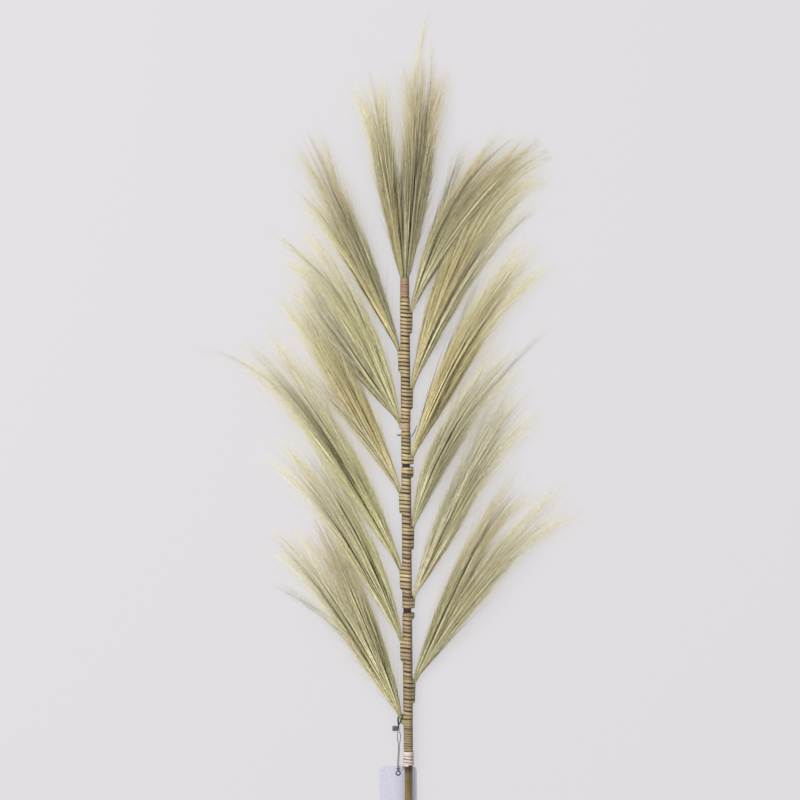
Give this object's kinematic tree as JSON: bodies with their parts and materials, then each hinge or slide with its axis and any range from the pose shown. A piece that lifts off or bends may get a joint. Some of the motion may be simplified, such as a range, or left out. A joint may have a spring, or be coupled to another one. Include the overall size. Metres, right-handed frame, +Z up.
{
  "type": "bundle of rayung grass",
  "caption": "Tall dried spray of feathery rayung grass plumes bound with raffia along both sides of a straight stick, with a blank hang tag, lying down.",
  "frame": {"origin": "middle of the ground that the spray covers, on the surface that it lies on", "axes": "+Y along the stick from its sawn end to the tips of the top plumes, +X to the right-hand plumes, +Z up from the surface"},
  "size_m": [0.475, 1.196, 0.024],
  "materials": {
    "stick": "dull brown-olive bark",
    "grass_hair": "fine dry straw-green hairs",
    "raffia": "dry flat strip, light beige",
    "white_raffia": "dry white strip",
    "dark_stem": "dry dark stem",
    "card": "smooth white card, blank",
    "eyelet_metal": "dark satin",
    "string": "thin dark twisted string",
    "clip_plastic": "dark grey"
  },
  "bodies": {
    "root": {"stick": "stick", "plume_top_left": "grass_hair", "plume_top_right": "grass_hair", "plume_left_1": "grass_hair", "plume_left_2": "grass_hair", "plume_left_3": "grass_hair", "plume_left_4": "grass_hair", "plume_left_5": "grass_hair", "plume_left_6": "grass_hair", "plume_right_1": "grass_hair", "plume_right_2": "grass_hair", "plume_right_3": "grass_hair", "plume_right_4": "grass_hair", "plume_right_5": "grass_hair", "plume_right_6": "grass_hair", "binding_collar": "raffia", "binding_6": "raffia", "binding_5": "raffia", "binding_4": "raffia", "binding_3": "raffia", "binding_2": "raffia", "binding_1": "raffia", "white_band": "white_raffia", "thorn": "dark_stem", "stray_stem": "dark_stem", "hang_tag": "card", "tag_eyelet": "eyelet_metal", "string_knot": "string", "tag_string_left": "string", "tag_string_right": "string", "tag_loop": "string", "tag_clip": "clip_plastic"}
  },
  "joints": []
}
